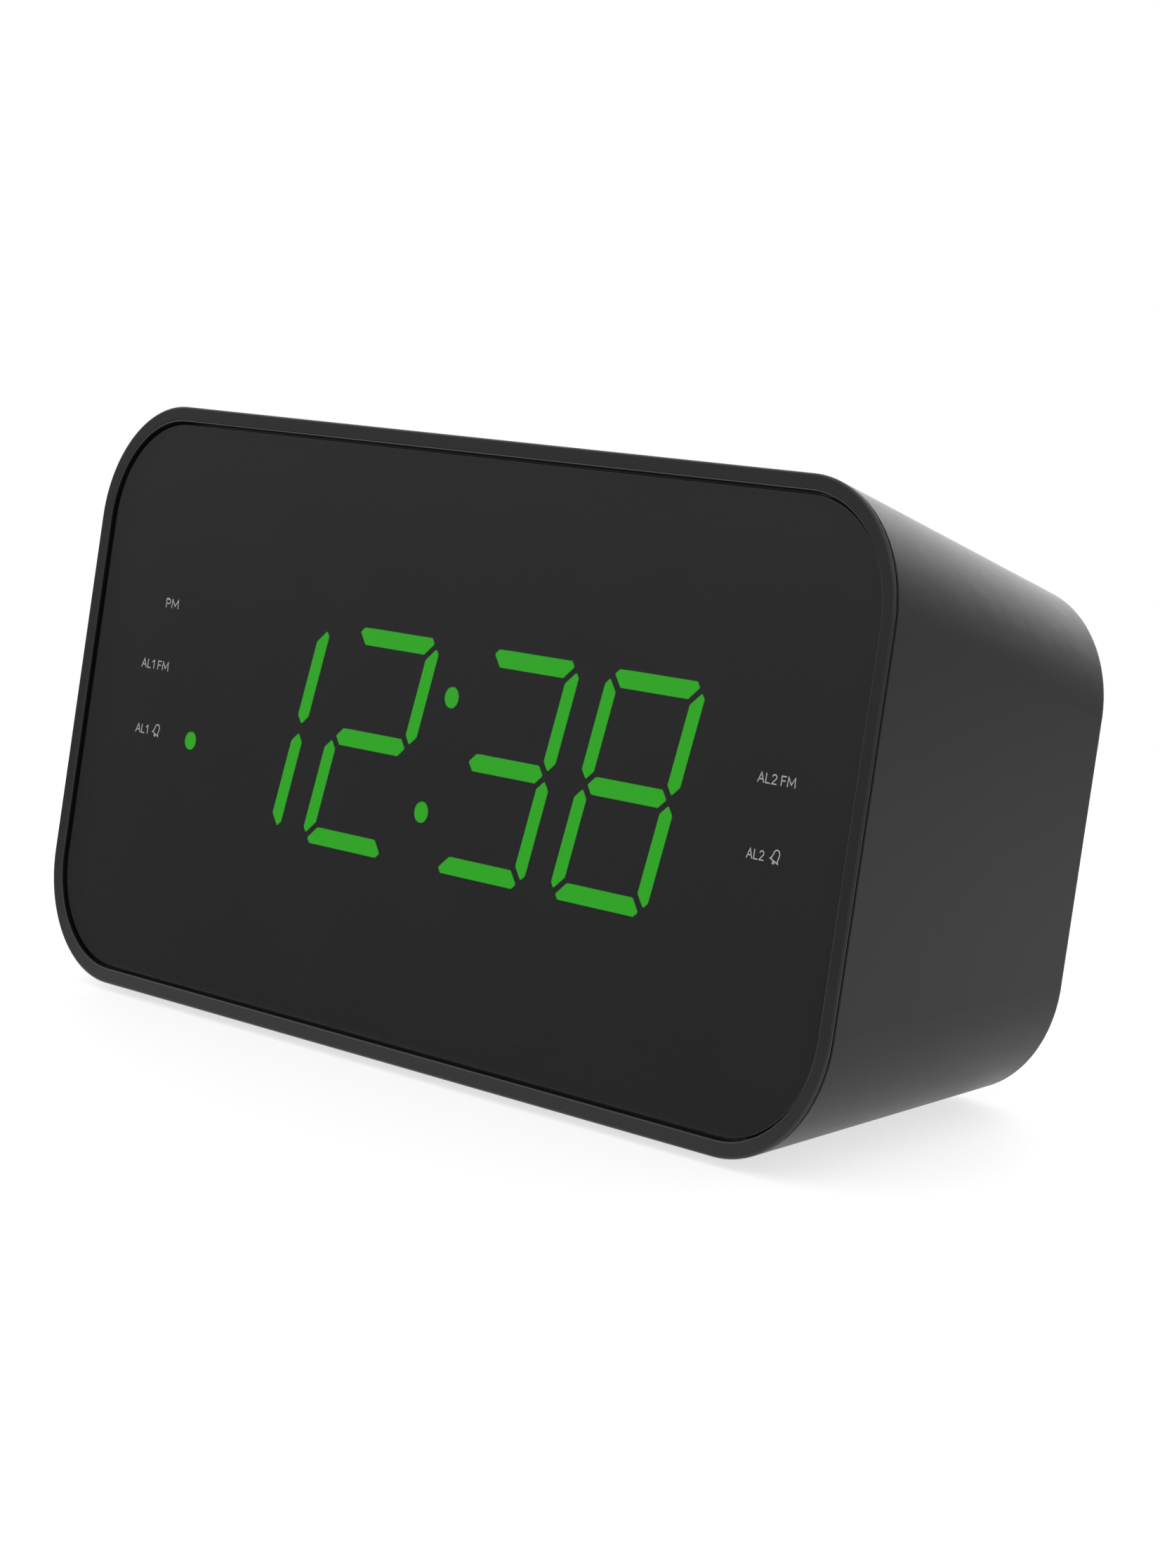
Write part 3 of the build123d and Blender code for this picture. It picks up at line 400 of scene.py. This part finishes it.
def bell(x, y, height, turn=0.0):
    """A bell seen from the side, with its clapper below."""
    body = [(-0.46, -0.34), (-0.34, -0.20), (-0.31, 0.20)]
    body += arc(0, 0.20, 0.31, 170, 10, 10) + [(0.31, 0.20), (0.34, -0.20), (0.46, -0.34)]
    return moved([body + body[:1], ring(0, -0.46, 0.09)], x, y, height, height, turn)


# The least part of a stroke's full width that a sharp turn's mitre divides by, the steps in the
# half circle at a stroke's end, and the print's thickness in millimetres
MITRE_LIMIT = 0.45
END_STEPS = 6
INK_LIFT = 0.03


def sideways(along):
    """A direction on the page turned a quarter turn to the left."""
    return Vector((-along.y, along.x))


def stroke_sides(points, closed, width):
    """Pairs of corners along a stroke's two sides, left and right, mitred at its turns."""
    sides = []
    for i, point in enumerate(points):
        before = points[i - 1] if closed or i else None
        after = points[(i + 1) % len(points)] if closed or i < len(points) - 1 else None
        into = (after - point if before is None else point - before).normalized()
        out = into if after is None else (after - point).normalized()
        across = Vector((-into.y - out.y, into.x + out.x)).normalized()
        reach = width / 2 / max(MITRE_LIMIT, across.dot(sideways(out)))
        sides.append([point + across * side * reach for side in (1, -1)])
    return sides


def round_end(tip, inner, width):
    """Corners of a half-round cap past an open stroke's tip, from right to left."""
    outward = (tip - inner).normalized()
    rim = []
    for i in reversed(range(1, END_STEPS)):
        angle = math.pi * i / END_STEPS
        across = sideways(outward) * math.cos(angle) + outward * math.sin(angle)
        rim.append(tip + across * width / 2)
    return rim


def flat_figure(strokes, width):
    """(corners, faces) of strokes drawn flat, with every face anticlockwise."""
    corners, faces = [], []

    def added(new_corners):
        """Adds corners to the figure: their numbers."""
        corners.extend(new_corners)
        return list(range(len(corners) - len(new_corners), len(corners)))

    for line in strokes:
        closed = line[0] == line[-1]
        points = [Vector(point) for point in (line[:-1] if closed else line)]
        sides = [added(pair) for pair in stroke_sides(points, closed, width)]
        following = sides[1:] + sides[:1] if closed else sides[1:]
        for here, there in zip(sides, following):
            faces.append([here[0], here[1], there[1], there[0]])
        if not closed:
            faces.append(sides[0][::-1] + added(round_end(points[0], points[1], width)))
            faces.append(sides[-1] + added(round_end(points[-1], points[-2], width)))
    return corners, faces


def stroke_mesh(name, strokes, width, thickness):
    """A thin raised print of the strokes, in millimetres, with round ends and mitred turns."""
    corners, faces = flat_figure(strokes, width)
    count = len(corners)
    low = [(*corner, 0.0) for corner in corners]
    high = [(*corner, thickness) for corner in corners]
    edges = [edge for face in faces for edge in zip(face, face[1:] + face[:1])]
    turned = {(b, a) for a, b in edges}
    walls = [(a, b, b + count, a + count) for a, b in edges if (a, b) not in turned]
    underside = [face[::-1] for face in faces]
    top = [[corner + count for corner in face] for face in faces]
    mesh = bpy.data.meshes.new(name)
    mesh.from_pydata(low + high, [], underside + top + walls)
    return mesh


def printed(name, body, place, strokes, width):
    """A print on a surface: it rides on a body and is as thick as a coat of ink."""
    mark = bpy.data.objects.new(name, stroke_mesh(name, strokes, width, INK_LIFT))
    scene.collection.objects.link(mark)
    mark.data.materials.append(looks["legend_ink"])
    mark.matrix_world = place @ Matrix.Diagonal((MM, MM, MM, 1))
    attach(mark, body)


# Legends on the lens: left, right and foot of each text on the face, and its height
LEGEND_WIDTH = 0.17
BELL_TURN = -22
BELL_HEIGHT = 1.85
legends = fitted("PM", -70.15, -66.95, 14.35, 1.3)
legends += fitted("AL1 FM", -74.4, -67.3, 4.45, 1.27)
legends += fitted("AL1", -73.55, -70.4, -5.85, 1.25) + bell(-68.0, -5.1, BELL_HEIGHT, BELL_TURN)
legends += fitted("AL2 FM", 68.65, 75.85, 4.42, 1.25)
legends += fitted("AL2", 68.65, 71.9, -5.83, 1.23) + bell(74.2, -5.05, BELL_HEIGHT, BELL_TURN)
printed("lens_legends", "radio", on_lens(0, 0), legends, LEGEND_WIDTH)

# Symbols on the keys' caps. The caps stand this high over the crown, and the rows of keys lie
# this far back from its front edge.
KEY_PROUD = 0.8
SNOOZE_PROUD = 1.0
SNOOZE_ROW, NEAR_ROW, FAR_ROW, MIDDLE_ROW = 21.0, 19.5, 34.5, 37.5
SYMBOL_WIDTH = 0.34
SNOOZE_SYMBOL_WIDTH = SYMBOL_WIDTH * 1.3

triangle = [(-0.9, -1.2), (1.0, 0), (-0.9, 1.2), (-0.9, -1.2)]
stop_bar = [(1.5, -1.2), (1.5, 1.2)]
minus = [(-1.3, 0), (1.3, 0)]
plus_upright = [(0, -1.3), (0, 1.3)]
power = [arc(0, -0.1, 1.3, 130, 410, 24), [(0, 0.2), (0, 1.5)]]
moon = arc(0, 0, 1.4, 60, 300, 20) + arc(0.75, 0, 1.25, 256, 104, 14)
clock = [ring(0, 0, 1.5), [(0, 0.95), (0, 0), (0.75, 0)]]
sun_rays = [moved([[(1.25, 0), (1.75, 0)]], turn=45 * i)[0] for i in range(8)]
alarm_bell = bell(-1.0, 0.1, 2.8)
snores = fitted("Z", -4.6, -1.4, -2.0, 3.8)
snores += fitted("Z", 0.2, 2.4, -2.0, 2.6)
snores += fitted("Z", 3.8, 5.2, -2.0, 1.7)

# Each key's place across the crown, its row, and its symbol's strokes from the cap's middle
key_symbols = {
    "power_key": (-58.5, NEAR_ROW, power),
    "sleep_key": (-43.0, NEAR_ROW, [moon + moon[:1]]),
    "alarm_one_key": (-58.5, FAR_ROW, alarm_bell + fitted("1", 1.2, 1.7, -1.0, 2.0)),
    "alarm_two_key": (-43.0, FAR_ROW, alarm_bell + fitted("2", 1.2, 2.4, -1.0, 2.0)),
    "tune_down_key": (43.0, NEAR_ROW, moved([triangle, stop_bar], wide=-1)),
    "tune_up_key": (58.5, NEAR_ROW, [triangle, stop_bar]),
    "volume_down_key": (43.0, FAR_ROW, [minus]),
    "volume_up_key": (58.5, FAR_ROW, [minus, plus_upright]),
    "set_time_key": (-12.0, MIDDLE_ROW, clock),
    "dimmer_key": (12.0, MIDDLE_ROW, [ring(0, 0, 0.8)] + sun_rays),
}
for key_name, (across_crown, row, strokes) in key_symbols.items():
    cap_place = on_crown(across_crown, row, KEY_PROUD)
    printed(key_name + "_symbol", key_name, cap_place, strokes, SYMBOL_WIDTH)
snooze_place = on_crown(0, SNOOZE_ROW, SNOOZE_PROUD)
printed("snooze_bar_symbol", "snooze_bar", snooze_place, snores, SNOOZE_SYMBOL_WIDTH)

# Symbols on the back: the plug's polarity, the aerial, and the way the battery door opens, each
# with its (x, height) on the face seen from the front
POLARITY_PLACE = (-62.0, -15.0)
AERIAL_PLACE = (-46.0, -15.2)
DOOR_ARROW_PLACE = (-40.0, 14.5)
REAR_SYMBOL_WIDTH = 0.25
DOOR_ARROW_WIDTH = 0.3
DOOR_ARROW_SIZE = 1.2

polarity = [ring(0, 0, 0.45), arc(0, 0, 1.0, 40, 320)]
polarity += [[(0.45, 0), (2.2, 0)], [(-2.2, 0), (-1.0, 0)]]
polarity += [[(-3.4, 0), (-2.6, 0)], [(2.6, 0), (3.4, 0)], [(3.0, -0.4), (3.0, 0.4)]]
aerial = [[(0, -1.4), (0, 1.3)], [(-1.1, 1.4), (0, 0.1), (1.1, 1.4)]]
door_arrow = moved([triangle], turn=-90, wide=DOOR_ARROW_SIZE, high=DOOR_ARROW_SIZE)
printed("polarity_symbol", "radio", on_rear(*POLARITY_PLACE), polarity, REAR_SYMBOL_WIDTH)
printed("aerial_symbol", "radio", on_rear(*AERIAL_PLACE), aerial, REAR_SYMBOL_WIDTH)
printed("door_arrow", "battery_door", on_rear(*DOOR_ARROW_PLACE), door_arrow, DOOR_ARROW_WIDTH)

# ---------------------------------------------------------------- stage, light and camera
# A pale disc, small enough that the flanks also reflect the dimmer studio below the horizon
WHITE = (1, 1, 1)
FLOOR_RADIUS = 0.31
FLOOR_SIDES = 96
bpy.ops.mesh.primitive_circle_add(vertices=FLOOR_SIDES, radius=FLOOR_RADIUS, fill_type="NGON")
floor = bpy.context.object
floor.name = "floor"
pale_floor = surface(
    "pale_floor",
    colour=(0.36, 0.36, 0.36),
    rough=0.7,
    tone=0.01,
    tone_scale=2,
    grain=400,
    depth=1e-6,
    level=0.1,
    glow=(WHITE, 0.7),
)
floor.data.materials.append(pale_floor)

world = bpy.data.worlds.new("studio")
scene.world = world
world.use_nodes = True
sky = world.node_tree
sky.nodes.clear()
direction = sky.nodes.new("ShaderNodeTexCoord").outputs["Generated"]


def facing(towards, start, end, low, high):
    """Goes smoothly from low to high as a ray turns towards a direction.

    Start and end are cosines of the angle to that direction.
    """
    dot = sky.nodes.new("ShaderNodeVectorMath")
    dot.operation = "DOT_PRODUCT"
    feed(sky, dot.inputs[0], direction)
    feed(sky, dot.inputs[1], Vector(towards).normalized())
    return ranged(sky, dot.outputs["Value"], low, high, start, end, "SMOOTHSTEP")


def white_light(strength):
    """White light from the world."""
    light = sky.nodes.new("ShaderNodeBackground")
    feed(sky, light.inputs["Color"], WHITE)
    feed(sky, light.inputs["Strength"], strength)
    return light.outputs["Background"]


# The studio is brighter above than below, has a soft panel behind the radio on the left, and a
# dark flag in front of it on the left. The camera itself sees plain white.
overhead = facing((0, 0, 1), start=0.0, end=0.5, low=0.62, high=1.1)
behind_panel = facing((-0.55, 0.80, 0.20), start=0.70, end=0.98, low=0.0, high=1.45)
dark_flag = facing((-0.72, -0.62, -0.30), start=0.80, end=0.96, low=1.0, high=0.25)
bright = worked(sky, "ADD", overhead, behind_panel)
studio = white_light(worked(sky, "MULTIPLY", bright, dark_flag))
backdrop = white_light(1.0)
light_path = sky.nodes.new("ShaderNodeLightPath")
chosen = sky.nodes.new("ShaderNodeMixShader")
feed(sky, chosen.inputs["Fac"], light_path.outputs["Is Camera Ray"])
feed(sky, chosen.inputs[1], studio)
feed(sky, chosen.inputs[2], backdrop)
sky_output = sky.nodes.new("ShaderNodeOutputWorld")
feed(sky, sky_output.inputs["Surface"], chosen.outputs["Shader"])

scene.view_settings.view_transform = "Standard"

CAMERA_PLACE = Vector((0.47738, -0.40752, 0.14196))
CAMERA_FORWARD = Vector((-0.74788, 0.64378, -0.16194))
CAMERA_ROLL = math.radians(0.45)
# Millimetres, as on a camera's own scale
CAMERA_SENSOR = 36
CAMERA_LENS = 97.61
# Metres
CAMERA_NEAREST = 0.01
camera = bpy.data.objects.new("camera", bpy.data.cameras.new("camera"))
scene.collection.objects.link(camera)
camera.location = CAMERA_PLACE
camera.rotation_mode = "QUATERNION"
roll = Quaternion((0, 0, 1), CAMERA_ROLL)
camera.rotation_quaternion = CAMERA_FORWARD.to_track_quat("-Z", "Y") @ roll
camera.data.sensor_width = CAMERA_SENSOR
camera.data.lens = CAMERA_LENS
camera.data.clip_start = CAMERA_NEAREST
scene.camera = camera
